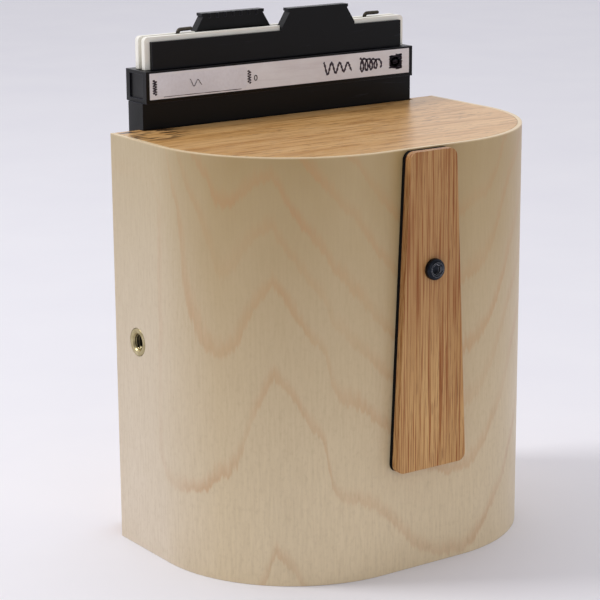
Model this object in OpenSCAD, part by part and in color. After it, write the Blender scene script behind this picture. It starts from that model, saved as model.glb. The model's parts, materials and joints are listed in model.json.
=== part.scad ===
// Pinhole camera for 4 x 5 inch sheet film, with a double film holder in its back.
// Millimetres. X is across the camera, -Y is the front, +Z is up.
// The origin is the mouth of the tripod socket in the middle of the underside.

/* [Body] */
// Width across the two straight sides
body_w = 144; // [140:1:150]
// Depth from the flat front to the back edges
body_d = 88; // [80:1:96]
// Height of the body
body_h = 150.5; // [149:0.5:154]
// Outer radius of the two front corners
corner_r = 54.5; // [44:0.5:56]
// Thickness of the bent plywood
wrap_t = 1.6; // [1.2:0.1:2]
// Thickness of the top plate
top_t = 9; // [8:0.5:10]
// Thickness of the bottom plate
bottom_t = 12; // [11:0.5:14]
// Depth of the two posts behind the sides, front to back
post_d = 30; // [26:1:34]

/* [Film gate and back] */
// Thickness of the film gate
gate_t = 6; // [4:0.5:7]
// Width of the picture area
window_w = 95; // [90:0.5:96]
// Height of the picture area
window_h = 118; // [110:0.5:119]
// Thickness of the felt on the gate
gate_felt_t = 0.75; // [0.5:0.05:0.8]
// Thickness of the back board
board_t = 3; // [2:0.5:3.5]
// Room behind the holder for the springs
spring_gap = 2.2; // [1.8:0.1:2.4]
// Thickness of the spring strip
spring_t = 0.4; // [0.3:0.05:0.5]
// Width of the spring strip
spring_w = 12; // [8:1:14]

/* [Shutter lever] */
// Length of the lever
lever_len = 112.3; // [100:0.1:114]
// Width at the top
lever_top_w = 20; // [16:0.1:22]
// Width at the bottom
lever_bottom_w = 30; // [26:0.1:32]
// Thickness of the wood
lever_t = 3; // [2:0.1:4]
// Radius of its corners
lever_corner_r = 3; // [1:0.1:4]
// Thickness of the felt glued behind it
lever_felt_t = 1.6; // [1:0.1:2]
// Pivot, below the top end
pivot_drop = 41; // [36:0.5:46]
// Radius of the pivot screw
screw_r = 2; // [1.5:0.1:2.5]

/* [Pinhole and sockets] */
// Radius of the pinhole
pinhole_r = 0.2; // [0.15:0.01:0.3]
// Radius of the flared hole through the front
aperture_r = 8; // [7:0.1:9]
// Radius of a tripod socket's bore
socket_r = 3.175; // [3:0.005:3.2]
// Radius of a socket's flange
flange_r = 5.15; // [5:0.05:6]
// Length of a socket
socket_len = 10; // [9:0.5:10]
// Height of the side socket
side_socket_z = 77.5; // [60:0.5:90]
// Side socket, in front of the back edges
side_socket_inset = 15.2; // [10:0.1:20]

/* [Film holder] */
// Width of the holder
holder_w = 119.4; // [118:0.1:119.6]
// Thickness of the holder
holder_t = 9.9; // [9.6:0.1:10.4]
// How far the holder is set in from the back edges
holder_inset = 1.8; // [1.2:0.1:2.4]
// Height of the loading flap
flap_h = 11; // [10:0.5:12]
// Width of the head
head_w = 118.4; // [117:0.1:119.4]
// Thickness of the head
head_t = 13.8; // [13:0.1:14.4]
// Height of the head
head_h = 11.4; // [10:0.1:13]
// Gap between the body and the head
head_rise = 9.4; // [8:0.1:12]

/* [Dark slides] */
// Thickness of a slide's sheet
sheet_t = 0.8; // [0.6:0.05:0.8]
// Width of a slide's sheet
sheet_w = 105; // [103:0.5:106]
// Width of the white layer of a handle
rim_w = 114.6; // [112:0.1:116]
// Height of the white layer
rim_h = 11.6; // [10:0.1:13]
// Thickness of the white layer
rim_t = 2.2; // [1:0.1:2.2]
// Width of the black layer of a handle
panel_w = 110.4; // [108:0.1:112]
// Height of the black layer
panel_h = 9.9; // [8:0.1:9.9]
// Thickness of the black layer
panel_t = 1.5; // [1:0.1:1.8]
// Middle of the finger tab, to the side of the handle's middle
tab_x = 17; // [12:0.5:20]
// Width of the tab at its foot
tab_foot_w = 33; // [28:0.5:34]
// Width of the tab at its top
tab_top_w = 26; // [20:0.5:28]
// Height of the tab's top above the head
tab_rise = 17.9; // [14:0.1:20]
// Overhang of the lip along the tab's top
lip = 0.5; // [0:0.1:1]
// Radius of the lock hook's wire
hook_r = 0.7; // [0.5:0.05:0.8]
// Reach of the lock hook's tip from its stem
hook_reach = 6.6; // [5:0.1:7]
// Angle of the left hook from straight across
left_hook_turn = 8; // [0:1:10]

/* [Hidden] */
$fn = 96;
eps = 0.01;

// Gap between faces of pieces that move past each other
slip = 0.1;
back_y = body_d / 2;
front_y = -body_d / 2;
inner_w = body_w - 2 * wrap_t;
top_z = body_h - top_t;

// The slot for the holder
slot_half_w = 60;
slot_edge_y = back_y - 3.3;
holder_front_y = back_y - holder_inset;
holder_mid_y = holder_front_y + holder_t / 2;
holder_back_y = holder_front_y + holder_t;
gate_face_y = holder_front_y - slip - gate_felt_t;
rail_w = 5.4;
rail_base_z = 0.5;
board_y = holder_back_y + spring_gap;
board_top_z = 140;
board_half_w = 64;
board_screw_x = 62;
board_screw_r = 1.1;
board_screw_head_r = 1.9;
ledge_top_z = 7.7;

// Levels of the film holder
holder_z = ledge_top_z + slip;
head_z = body_h + head_rise;
head_top_z = head_z + head_h;
flap_top_z = holder_z + flap_h;
window_z = holder_z + 14;
rib_z = top_z + 0.2;
rib_h = 2;
rib_t = 1.2;
film_w = 101.6;
film_h = 127;
film_t = 0.2;
septum_t = 1;
cavity_w = 102.4;
sheet_mid = 3.4;
handle_z = head_top_z + slip;
panel_y = 4.75;
rim_y = panel_y - panel_t;
pocket_h = 4;
tab_foot_z = 6.6;
hook_x = 41.5;
hook_z = handle_z + rim_h + 0.6 + hook_r;
hook_depth = 8;

// Front, from the outside in
lever_felt_y = front_y - slip;
lever_y = lever_felt_y - lever_felt_t;
lever_top_z = 150;
pivot_z = lever_top_z - pivot_drop;
backing_y = front_y + wrap_t;
backing_t = 6;
backing_w = 34;
backing_z = 40;
backing_h = 92;
pinhole_z = window_z + window_h / 2;
socket_body_r = 4.2;
plate_size = 26;
plate_t = 1.5;
plate_screw_spacing = 20;
shim_size = 14;
shim_t = 0.2;

// ---- shapes used more than once ----

// Box given by its lowest corner and its highest corner
module span(low, high) {
    translate(low) cube(high - low);
}

// Plan of the body, drawn in by an even margin except at the back
module body_plan(margin = 0) {
    r = corner_r - margin;
    half_w = body_w / 2 - margin;
    y0 = front_y + margin;
    difference() {
        translate([-half_w, y0]) square([2 * half_w, back_y - y0]);
        for (side = [-1, 1]) mirror([side < 0 ? 1 : 0, 0]) translate([half_w - r, y0 + r])
            difference() {
                translate([0, -r - 1]) square(r + 1);
                circle(r, $fn = 240);
            }
    }
}

// Cylinder that starts at a point and runs along +Y
module rod_y(start, length, r) {
    translate(start) rotate([-90, 0, 0]) cylinder(h = length, r = r);
}

// Threaded brass socket, mouth at the origin, sunk along +Z
module tripod_socket() {
    color("goldenrod")
        rotate_extrude()
            polygon([[socket_r, socket_len], [socket_body_r, socket_len], [socket_body_r, wrap_t],
                [flange_r, wrap_t], [flange_r, 0], [socket_r, 0]]);
}

// Hole that the tripod socket fills
module socket_hole() {
    translate([0, 0, -1]) cylinder(h = wrap_t + 1, r = flange_r);
    cylinder(h = socket_len, r = socket_body_r);
}

// Puts a socket in the left side, with its mouth outwards
module at_side_socket() {
    translate([-body_w / 2, back_y - side_socket_inset, side_socket_z]) rotate([0, 90, 0]) children();
}

// Countersunk screw, head flush with z = 0, shank along -Z
module flat_head_screw(r, head_r, length) {
    rotate_extrude()
        polygon([[0, 0], [head_r, 0], [r, r - head_r], [r, -length], [0, -length - r]]);
}

// Lever outline: a long taper with round corners, drawn in X and Z
module lever_outline() {
    r = lever_corner_r;
    top = lever_top_z - r;
    bottom = lever_top_z - lever_len + r;
    half_top = lever_top_w / 2 - r;
    half_bottom = lever_bottom_w / 2 - r;
    corners = [[half_top, top, 0], [-half_top, top, 90], [-half_bottom, bottom, 180],
        [half_bottom, bottom, 270]];
    polygon([for (c = corners) for (a = [0 : 10 : 90])
        [c[0] + r * cos(c[2] + a), c[1] + r * sin(c[2] + a)]]);
}

// Slab with the lever's outline, its front face at y
module lever_slab(y, thickness) {
    difference() {
        translate([0, y + thickness, 0]) rotate([90, 0, 0])
            linear_extrude(thickness) lever_outline();
        rod_y([0, y - 1, pivot_z], thickness + 2, screw_r + 0.06);
    }
}

// Places the children as they are, or turned half round for the holder's back
module holder_face(back) {
    translate([0, holder_mid_y, 0]) rotate([0, 0, back ? 180 : 0]) children();
}

// ---- body ----

module plywood_wrap() {
    color("burlywood") difference() {
        linear_extrude(body_h) difference() {
            body_plan();
            body_plan(wrap_t);
            translate([-inner_w / 2, front_y + corner_r]) square([inner_w, back_y]);
        }
        at_side_socket() socket_hole();
        rod_y([0, front_y - 1, pivot_z], wrap_t + 2, screw_r);
        rod_y([0, front_y - 1, pinhole_z], wrap_t + 2, aperture_r);
    }
}

// Plate inside the wrap with a notch in its back edge for the holder
module end_plate(z, thickness) {
    translate([0, 0, z]) linear_extrude(thickness) difference() {
        body_plan(wrap_t);
        translate([-slot_half_w, slot_edge_y]) square([2 * slot_half_w, 10]);
    }
}

module top_plate() {
    color("peru") end_plate(top_z, top_t);
}

module bottom_plate() {
    color("peru") difference() {
        end_plate(0, bottom_t);
        socket_hole();
    }
}

module side_post(side) {
    x = [slot_half_w, inner_w / 2];
    color("tan") span([min(side * x), back_y - post_d, bottom_t], [max(side * x), back_y, top_z]);
}

module side_post_left() {
    difference() {
        side_post(-1);
        at_side_socket() socket_hole();
    }
}

module side_post_right() {
    side_post(1);
}

module film_gate() {
    color("dimgray") difference() {
        span([-slot_half_w, gate_face_y - gate_t, bottom_t], [slot_half_w, gate_face_y, top_z]);
        span([-window_w / 2 - 0.5, 0, window_z - 0.5],
            [window_w / 2 + 0.5, back_y, window_z + window_h]);
    }
}

module gate_felt() {
    y = [gate_face_y, gate_face_y + gate_felt_t];
    color("black") difference() {
        span([-slot_half_w + 1, y[0], bottom_t + 1], [slot_half_w - 1, y[1], top_z]);
        span([-window_w / 2 - 0.5, 0, window_z - 0.5],
            [window_w / 2 + 0.5, back_y, window_z + window_h]);
    }
}

module front_backing() {
    color("tan") difference() {
        span([-backing_w / 2, backing_y, backing_z],
            [backing_w / 2, backing_y + backing_t, backing_z + backing_h]);
        rod_y([0, front_y, pivot_z], 10, screw_r);
        rod_y([0, front_y, pinhole_z], 10, aperture_r);
        at_plate_screws() plate_screw();
    }
}

// ---- pinhole ----

module plate_screw() {
    translate([0, backing_y + backing_t + plate_t, 0]) rotate([-90, 0, 0])
        flat_head_screw(0.8, 1.6, 4);
}

module at_plate_screws() {
    for (x = [-1, 1], z = [-1, 1])
        translate([x * plate_screw_spacing / 2, 0, pinhole_z + z * plate_screw_spacing / 2])
            children();
}

module pinhole_shim() {
    y = backing_y + backing_t;
    half = shim_size / 2 + 2;
    color("goldenrod") difference() {
        span([-half, y, pinhole_z - half + 2], [half, y + shim_t, pinhole_z + half - 2]);
        rod_y([0, y - 1, pinhole_z], 2, pinhole_r);
    }
}

module pinhole_plate() {
    y = backing_y + backing_t;
    half = plate_size / 2;
    color("darkslategray") difference() {
        span([-half, y, pinhole_z - half], [half, y + plate_t, pinhole_z + half]);
        rod_y([0, y - 1, pinhole_z], 4, 5);
        span([-shim_size / 2 - 2, y - 1, pinhole_z - shim_size / 2],
            [shim_size / 2 + 2, y + shim_t, pinhole_z + shim_size / 2]);
        at_plate_screws() plate_screw();
    }
}

module pinhole_plate_screws() {
    color("silver") at_plate_screws() plate_screw();
}

module side_tripod_socket() {
    at_side_socket() tripod_socket();
}

module bottom_tripod_socket() {
    tripod_socket();
}

// ---- back ----

module holder_ledge() {
    color("tan") span([-slot_half_w, slot_edge_y, rail_base_z], [slot_half_w, board_y, ledge_top_z]);
}

module at_board_screws(sides = [-1, 1]) {
    for (side = sides, z = [14, 72, 130])
        translate([side * board_screw_x, board_y + board_t, z]) rotate([-90, 0, 0])
            flat_head_screw(board_screw_r, board_screw_head_r, 10);
}

module back_rail(side) {
    x = [slot_half_w, slot_half_w + rail_w];
    color("tan") difference() {
        span([min(side * x), back_y, rail_base_z], [max(side * x), board_y, board_top_z]);
        at_board_screws([side]);
    }
}

module back_rail_left() {
    back_rail(-1);
}

module back_rail_right() {
    back_rail(1);
}

module back_board() {
    color("burlywood") difference() {
        span([-board_half_w, board_y, rail_base_z], [board_half_w, board_y + board_t, board_top_z]);
        at_board_screws();
        at_rivets() rivet();
    }
}

module back_board_screws() {
    color("silver") at_board_screws();
}

// Bowed strip: its ends lie on the back board and its crown stops just short of the holder
spring_x = 34;
spring_z = 40;
spring_len = 76;
spring_foot = 8;
spring_steps = 24;
spring_bow = spring_gap - spring_t - slip;

function bow(u) = spring_bow * (1 - cos(360 * u)) / 2;

module leaf_spring(side) {
    steps = [for (i = [0 : spring_steps]) i / spring_steps];
    face = [for (u = steps) [board_y - bow(u), spring_z + spring_foot + spring_len * u]];
    back = concat([[board_y, spring_z]], face);
    front = [for (i = [len(back) - 1 : -1 : 0]) back[i] - [spring_t, 0]];
    color("silver") difference() {
        translate([side * spring_x - spring_w / 2, 0, 0]) rotate([90, 0, 90])
            linear_extrude(spring_w) polygon(concat(back, front));
        at_rivets([side]) rivet();
    }
}

module leaf_spring_left() {
    leaf_spring(-1);
}

module leaf_spring_right() {
    leaf_spring(1);
}

module at_rivets(sides = [-1, 1]) {
    for (side = sides)
        translate([side * spring_x, board_y - spring_t, spring_z + spring_foot / 2])
            rotate([-90, 0, 0]) children();
}

module rivet() {
    translate([0, 0, -0.6]) cylinder(h = 0.6, r = 2.4);
    cylinder(h = spring_t + board_t, r = 1.2);
}

module spring_rivets() {
    color("silver") at_rivets() rivet();
}

// ---- shutter lever ----

module pivot_screw() {
    head_y = lever_y - lever_t - slip;
    color("black") difference() {
        union() {
            translate([0, head_y, pivot_z]) rotate([-90, 0, 0]) rotate_extrude()
                polygon([[0, -2.2], [2.5, -2.2], [3.1, -2.0], [3.5, -1.6], [3.7, -1.1], [3.8, -0.6],
                    [3.8, 0], [0, 0]]);
            rod_y([0, head_y, pivot_z], backing_y + backing_t + 7 - head_y, screw_r);
        }
        translate([0, head_y - 3, pivot_z]) rotate([-90, 0, 0]) cylinder(h = 2.2, r = 1.8, $fn = 6);
    }
}

module pivot_washer() {
    y = backing_y + backing_t;
    color("silver") difference() {
        rod_y([0, y, pivot_z], 0.8, 4.5);
        rod_y([0, y - 1, pivot_z], 3, screw_r);
    }
}

module pivot_lock_nut() {
    y = backing_y + backing_t + 0.8;
    color("silver") difference() {
        union() {
            translate([0, y, pivot_z]) rotate([-90, 0, 0]) cylinder(h = 3.4, r = 4.04, $fn = 6);
            rod_y([0, y + 3.4, pivot_z], 1.4, 3.1);
        }
        rod_y([0, y - 1, pivot_z], 7, screw_r);
    }
}

module shutter_lever() {
    color("chocolate") lever_slab(lever_y - lever_t, lever_t);
}

module lever_felt() {
    color("black") lever_slab(lever_y, lever_felt_t);
}

// ---- film holder ----

module at_hooks() {
    for (side = [-1, 1]) translate([side * hook_x, holder_mid_y, 0]) children();
}

module holder_frame() {
    half_w = holder_w / 2;
    half_t = holder_t / 2;
    color([0.09, 0.09, 0.1]) difference() {
        union() {
            span([-half_w, holder_front_y, flap_top_z], [half_w, holder_back_y, head_z]);
            translate([-head_w / 2, holder_mid_y - head_t / 2, head_z])
                cube([head_w, head_t, head_h]);
            span([-half_w, holder_front_y - rib_t, rib_z],
                [half_w, holder_back_y + rib_t, rib_z + rib_h]);
        }
        span([-window_w / 2, 0, window_z], [window_w / 2, 2 * back_y, window_z + window_h]);
        // room for the divider and the film
        span([-cavity_w / 2, holder_mid_y - 0.75, flap_top_z - 1],
            [cavity_w / 2, holder_mid_y + 0.75, flap_top_z + film_h + 0.6]);
        for (back = [false, true]) holder_face(back) {
            // slot for the dark slide, open at the top
            span([-sheet_w / 2 - 0.2, -sheet_mid - sheet_t / 2 - slip, flap_top_z + 0.6],
                [sheet_w / 2 + 0.2, -sheet_mid + sheet_t / 2 + slip, head_top_z + 1]);
            light_seal_pocket();
            label_blank();
            // shallow panel in the end of the head
            span([head_w / 2 - 0.6, -half_t + 0.4, head_z + 1.4],
                [head_w / 2 + 1, half_t - 0.4, head_top_z - 1.2]);
        }
        at_hooks() translate([0, 0, head_top_z - hook_depth - 0.2])
            cylinder(h = hook_depth + 1, r = hook_r + 0.05);
        hinge_tape_blank();
    }
}

module light_seal_pocket() {
    span([-sheet_w / 2, -sheet_mid + sheet_t / 2, head_z + 1.5],
        [sheet_w / 2, -sheet_mid + sheet_t / 2 + 1.1, head_z + 8]);
}

module slide_light_seals() {
    color("black") for (back = [false, true]) holder_face(back)
        span([-sheet_w / 2, -sheet_mid + sheet_t / 2 + slip, head_z + 1.5],
            [sheet_w / 2, -sheet_mid + sheet_t / 2 + 1.1, head_z + 8]);
}

module holder_septum() {
    color([0.15, 0.15, 0.15])
        span([-film_w / 2, holder_mid_y - septum_t / 2, flap_top_z + 0.1],
            [film_w / 2, holder_mid_y + septum_t / 2, flap_top_z + film_h + 0.1]);
}

module film_sheet(back) {
    color("darkslategray") holder_face(back)
        span([-film_w / 2, -septum_t / 2 - film_t, flap_top_z + 0.1],
            [film_w / 2, -septum_t / 2, flap_top_z + film_h + 0.1]);
}

module film_sheet_front() {
    film_sheet(false);
}

module film_sheet_back() {
    film_sheet(true);
}

module loading_flap() {
    half_w = holder_w / 2;
    color([0.09, 0.09, 0.1]) difference() {
        span([-half_w, holder_front_y, holder_z], [half_w, holder_back_y, flap_top_z]);
        // thumb groove across the end
        span([-25, holder_front_y - 1, holder_z + 3], [25, holder_front_y + 1, holder_z + 6]);
        hinge_tape_blank();
    }
}

// Strip let into the back face, half on the frame and half on the flap
module hinge_tape_blank() {
    span([-holder_w / 2 + 2, holder_back_y - 0.3, flap_top_z - 2.5],
        [holder_w / 2 - 2, holder_back_y + eps, flap_top_z + 2.5]);
}

module flap_hinge_tape() {
    color([0.12, 0.12, 0.12]) intersection() {
        hinge_tape_blank();
        span([-holder_w, 0, 0], [holder_w, holder_back_y, body_h]);
    }
}

// Writing strip let into the face of the head
label_w = 115.4;
label_h = 9.4;
label_z = 1.3;
label_t = 0.3;

module label_blank(margin = eps) {
    span([-label_w / 2, -head_t / 2 - margin, head_z + label_z],
        [label_w / 2, -head_t / 2 + label_t, head_z + label_z + label_h]);
}

module front_label() {
    color("whitesmoke") holder_face(false) label_blank(0);
}

module back_label() {
    color("whitesmoke") holder_face(true) label_blank(0);
}

// Small paper note stuck on the front label
module label_note() {
    color("thistle") holder_face(false)
        span([-54.5, -head_t / 2 - 0.12, head_z + label_z + 0.8],
            [-16.5, -head_t / 2, head_z + label_z + label_h - 0.9]);
}

// ---- dark slides ----

module slide_sheet(back) {
    holder_face(back) span([-sheet_w / 2, -sheet_mid - sheet_t / 2, flap_top_z + 1],
        [sheet_w / 2, -sheet_mid + sheet_t / 2, handle_z + pocket_h]);
}

// White half of the handle, towards the middle of the holder
module slide_rim(back) {
    r = 1.6;
    half_w = rim_w / 2;
    color("ivory") difference() {
        holder_face(back) translate([0, -rim_y + rim_t, handle_z]) rotate([90, 0, 0])
            linear_extrude(rim_t) difference() {
                polygon(concat([[-half_w, 0], [half_w, 0]],
                    [for (a = [0 : 15 : 90])
                        [half_w - r + r * cos(a), rim_h - r + r * sin(a)]],
                    [for (a = [90 : 15 : 180])
                        [-half_w + r + r * cos(a), rim_h - r + r * sin(a)]]));
                translate([tab_x - tab_foot_w / 2, tab_foot_z]) square([tab_foot_w, rim_h]);
            }
        slide_sheet(back);
    }
}

// Black half of the handle with its finger tab
module slide_handle(back) {
    foot = tab_foot_w / 2;
    tip = tab_top_w / 2;
    lip_z = tab_rise - 1.3;
    color([0.08, 0.08, 0.09]) difference() {
        holder_face(back) union() {
            translate([-panel_w / 2, -panel_y, handle_z]) cube([panel_w, panel_t, panel_h]);
            translate([tab_x, -rim_y + rim_t, head_top_z]) rotate([90, 0, 0])
                linear_extrude(panel_t + rim_t)
                    polygon([[-foot, tab_foot_z + slip], [foot, tab_foot_z + slip],
                        [foot, rim_h - 0.6], [tip, lip_z], [tip + lip, lip_z + lip / 2],
                        [tip + lip, tab_rise], [-tip - lip, tab_rise],
                        [-tip - lip, lip_z + lip / 2], [-tip, lip_z], [-foot, rim_h - 0.6]]);
            // raised dots that tell the two faces apart by touch
            for (i = [-3 : 3])
                translate([tab_x + 3.4 * i, -rim_y + rim_t, head_top_z + tab_rise - 1.8])
                    cylinder(h = 1.8, r = 0.5, $fn = 24);
        }
        slide_sheet(back);
    }
}

module front_slide_sheet() {
    color([0.1, 0.1, 0.1]) slide_sheet(false);
}

module front_slide_rim() {
    slide_rim(false);
}

module front_slide_handle() {
    slide_handle(false);
}

module back_slide_sheet() {
    color([0.1, 0.1, 0.1]) slide_sheet(true);
}

module back_slide_rim() {
    slide_rim(true);
}

module back_slide_handle() {
    slide_handle(true);
}

// Bent wire that turns over a handle's edge to lock the slide
module lock_hook(side, turn) {
    color("gray") translate([side * hook_x, holder_mid_y, 0]) rotate([0, 0, turn]) {
        translate([0, 0, head_top_z - hook_depth])
            cylinder(h = hook_z - head_top_z + hook_depth, r = hook_r);
        translate([0, 0, hook_z]) sphere(hook_r);
        translate([0, 0, hook_z]) rotate([0, 90, 0]) cylinder(h = hook_reach, r = hook_r);
    }
}

module lock_hook_left() {
    lock_hook(-1, left_hook_turn);
}

module lock_hook_right() {
    lock_hook(1, 0);
}

plywood_wrap();
top_plate();
bottom_plate();
side_post_left();
side_post_right();
film_gate();
gate_felt();
front_backing();
pinhole_shim();
pinhole_plate();
pinhole_plate_screws();
side_tripod_socket();
bottom_tripod_socket();
holder_ledge();
back_rail_left();
back_rail_right();
back_board();
back_board_screws();
leaf_spring_left();
leaf_spring_right();
spring_rivets();
pivot_screw();
pivot_washer();
pivot_lock_nut();
shutter_lever();
lever_felt();
holder_frame();
holder_septum();
film_sheet_front();
film_sheet_back();
slide_light_seals();
loading_flap();
flap_hinge_tape();
front_label();
back_label();
label_note();
front_slide_sheet();
front_slide_rim();
front_slide_handle();
back_slide_sheet();
back_slide_rim();
back_slide_handle();
lock_hook_left();
lock_hook_right();
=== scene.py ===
"""Looks for a wooden pinhole camera with a double film holder in its back.

Metres, in the CAD model's own frame: X is across the camera, -Y is the front, +Z is up.
"""

import json
import math

import bmesh
import bpy
from mathutils import Matrix, Vector

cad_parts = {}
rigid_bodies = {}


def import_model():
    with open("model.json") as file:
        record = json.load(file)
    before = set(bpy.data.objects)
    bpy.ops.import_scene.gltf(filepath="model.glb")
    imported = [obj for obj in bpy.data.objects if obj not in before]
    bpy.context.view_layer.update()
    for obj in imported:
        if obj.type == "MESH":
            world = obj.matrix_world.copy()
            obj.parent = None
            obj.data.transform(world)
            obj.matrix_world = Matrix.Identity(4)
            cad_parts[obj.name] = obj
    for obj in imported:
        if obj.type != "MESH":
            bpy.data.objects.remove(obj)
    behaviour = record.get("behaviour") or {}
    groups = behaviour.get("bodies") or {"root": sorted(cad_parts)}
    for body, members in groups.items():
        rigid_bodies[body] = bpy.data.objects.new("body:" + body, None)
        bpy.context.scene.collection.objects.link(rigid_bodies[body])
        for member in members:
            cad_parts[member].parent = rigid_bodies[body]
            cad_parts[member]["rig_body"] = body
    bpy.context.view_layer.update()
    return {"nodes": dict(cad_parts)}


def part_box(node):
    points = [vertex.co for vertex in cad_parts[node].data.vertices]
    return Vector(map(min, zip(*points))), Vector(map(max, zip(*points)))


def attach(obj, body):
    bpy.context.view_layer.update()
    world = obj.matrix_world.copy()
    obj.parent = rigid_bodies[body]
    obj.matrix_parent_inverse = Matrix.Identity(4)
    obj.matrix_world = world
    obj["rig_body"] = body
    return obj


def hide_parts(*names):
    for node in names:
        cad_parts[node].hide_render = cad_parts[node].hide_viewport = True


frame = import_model()

MM = 0.001

# The bent plywood shell's plan, as in the CAD model: a flat front and two round corners
CORNER_R = 54.5 * MM
wrap_low, wrap_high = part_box("plywood_wrap")
FLAT_HALF_W = wrap_high.x - CORNER_R
CORNER_Y = wrap_low.y + CORNER_R


# ---- camera, light and floor ----

CAMERA_TARGET = Vector((-21.7, 0.0, 91.3)) * MM
CAMERA_DISTANCE = 749.9 * MM
CAMERA_AZIMUTH = -34.684
CAMERA_ELEVATION = 14.270
CAMERA_ROLL = -0.391
CAMERA_LENS = 126.5
SENSOR_W = 36.0

BRIGHT_AZIMUTH = 150
FRONT_LIGHT = 0.34
BACK_LIGHT = 1.06
# Cosine of the angle from the bright side at which the world's light is dimmest, and the same for brightest
WORLD_FADE = (-0.7, 0.7)
WORLD_COLOUR = (0.96, 0.955, 1.0, 1.0)
# Lamps: name, azimuth, elevation, distance in metres, width in metres, watts, colour
LAMPS = [
    ("key", -125, 55, 1.5, 0.30, 7.0, (1.0, 0.99, 0.98)),
    ("low_fill", -12, 27, 0.65, 0.4, 0.52, (0.98, 0.985, 1.0)),
]

FLOOR_HALF = 8.0
FLOOR_DROP = 0.05 * MM


def direction(azimuth, elevation):
    """Unit vector from the object towards a place round it: azimuth 0 is the front, 90 is +X."""
    a, e = math.radians(azimuth), math.radians(elevation)
    return Vector((math.sin(a) * math.cos(e), -math.cos(a) * math.cos(e), math.sin(e)))


def make_camera():
    data = bpy.data.cameras.new("view")
    data.lens = CAMERA_LENS
    data.sensor_width = SENSOR_W
    data.clip_start = 0.05
    data.clip_end = 50.0
    camera = bpy.data.objects.new("view", data)
    back = direction(CAMERA_AZIMUTH, CAMERA_ELEVATION)
    aim = (-back).to_track_quat("-Z", "Y").to_matrix().to_4x4()
    roll = Matrix.Rotation(math.radians(CAMERA_ROLL), 4, "Z")
    camera.matrix_world = Matrix.Translation(CAMERA_TARGET + back * CAMERA_DISTANCE) @ aim @ roll
    bpy.context.scene.collection.objects.link(camera)
    bpy.context.scene.camera = camera


def make_softbox(name, azimuth, elevation, distance, size, power, colour):
    """Square area light that faces the object."""
    data = bpy.data.lights.new(name, "AREA")
    data.shape = "SQUARE"
    data.size = size
    data.energy = power
    data.color = colour
    lamp = bpy.data.objects.new(name, data)
    lamp.visible_camera = False
    away = direction(azimuth, elevation)
    lamp.location = away * distance
    lamp.rotation_mode = "QUATERNION"
    lamp.rotation_quaternion = (-away).to_track_quat("-Z", "Y")
    bpy.context.scene.collection.objects.link(lamp)


def make_world():
    """Soft light from all round: bright from behind the object, dim from the front."""
    world = bpy.data.worlds.new("studio")
    world.use_nodes = True
    nodes, links = world.node_tree.nodes, world.node_tree.links
    place = nodes.new("ShaderNodeTexCoord")
    facing = nodes.new("ShaderNodeVectorMath")
    facing.operation = "DOT_PRODUCT"
    facing.inputs[1].default_value = direction(BRIGHT_AZIMUTH, 0)
    strength = nodes.new("ShaderNodeMapRange")
    strength.interpolation_type = "SMOOTHSTEP"
    for socket, value in zip(strength.inputs[1:], (*WORLD_FADE, FRONT_LIGHT, BACK_LIGHT)):
        socket.default_value = value
    background = nodes["Background"]
    background.inputs["Color"].default_value = WORLD_COLOUR
    links.new(place.outputs["Generated"], facing.inputs[0])
    links.new(facing.outputs["Value"], strength.inputs[0])
    links.new(strength.outputs[0], background.inputs["Strength"])
    bpy.context.scene.world = world


def make_lights():
    make_world()
    for lamp in LAMPS:
        make_softbox(*lamp)
    bpy.context.scene.view_settings.view_transform = "Standard"


def make_floor(material):
    mesh = bpy.data.meshes.new("floor")
    signs = [(-1, -1), (1, -1), (1, 1), (-1, 1)]
    corners = [(x * FLOOR_HALF, y * FLOOR_HALF, -FLOOR_DROP) for x, y in signs]
    mesh.from_pydata(corners, [], [(0, 1, 2, 3)])
    mesh.materials.append(material)
    floor = bpy.data.objects.new("floor", mesh)
    bpy.context.scene.collection.objects.link(floor)


# ---- material building ----


def srgb(red, green, blue):
    """Linear colour from screen values of 0 to 255."""
    parts = [c / 255 for c in (red, green, blue)]
    return (*[c / 12.92 if c <= 0.04045 else ((c + 0.055) / 1.055) ** 2.4 for c in parts], 1.0)


def along(axis, lengthwise, across):
    """Frequencies, in cycles per metre, of a grain that runs along one axis."""
    return tuple(lengthwise if i == axis else across for i in range(3))


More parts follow.
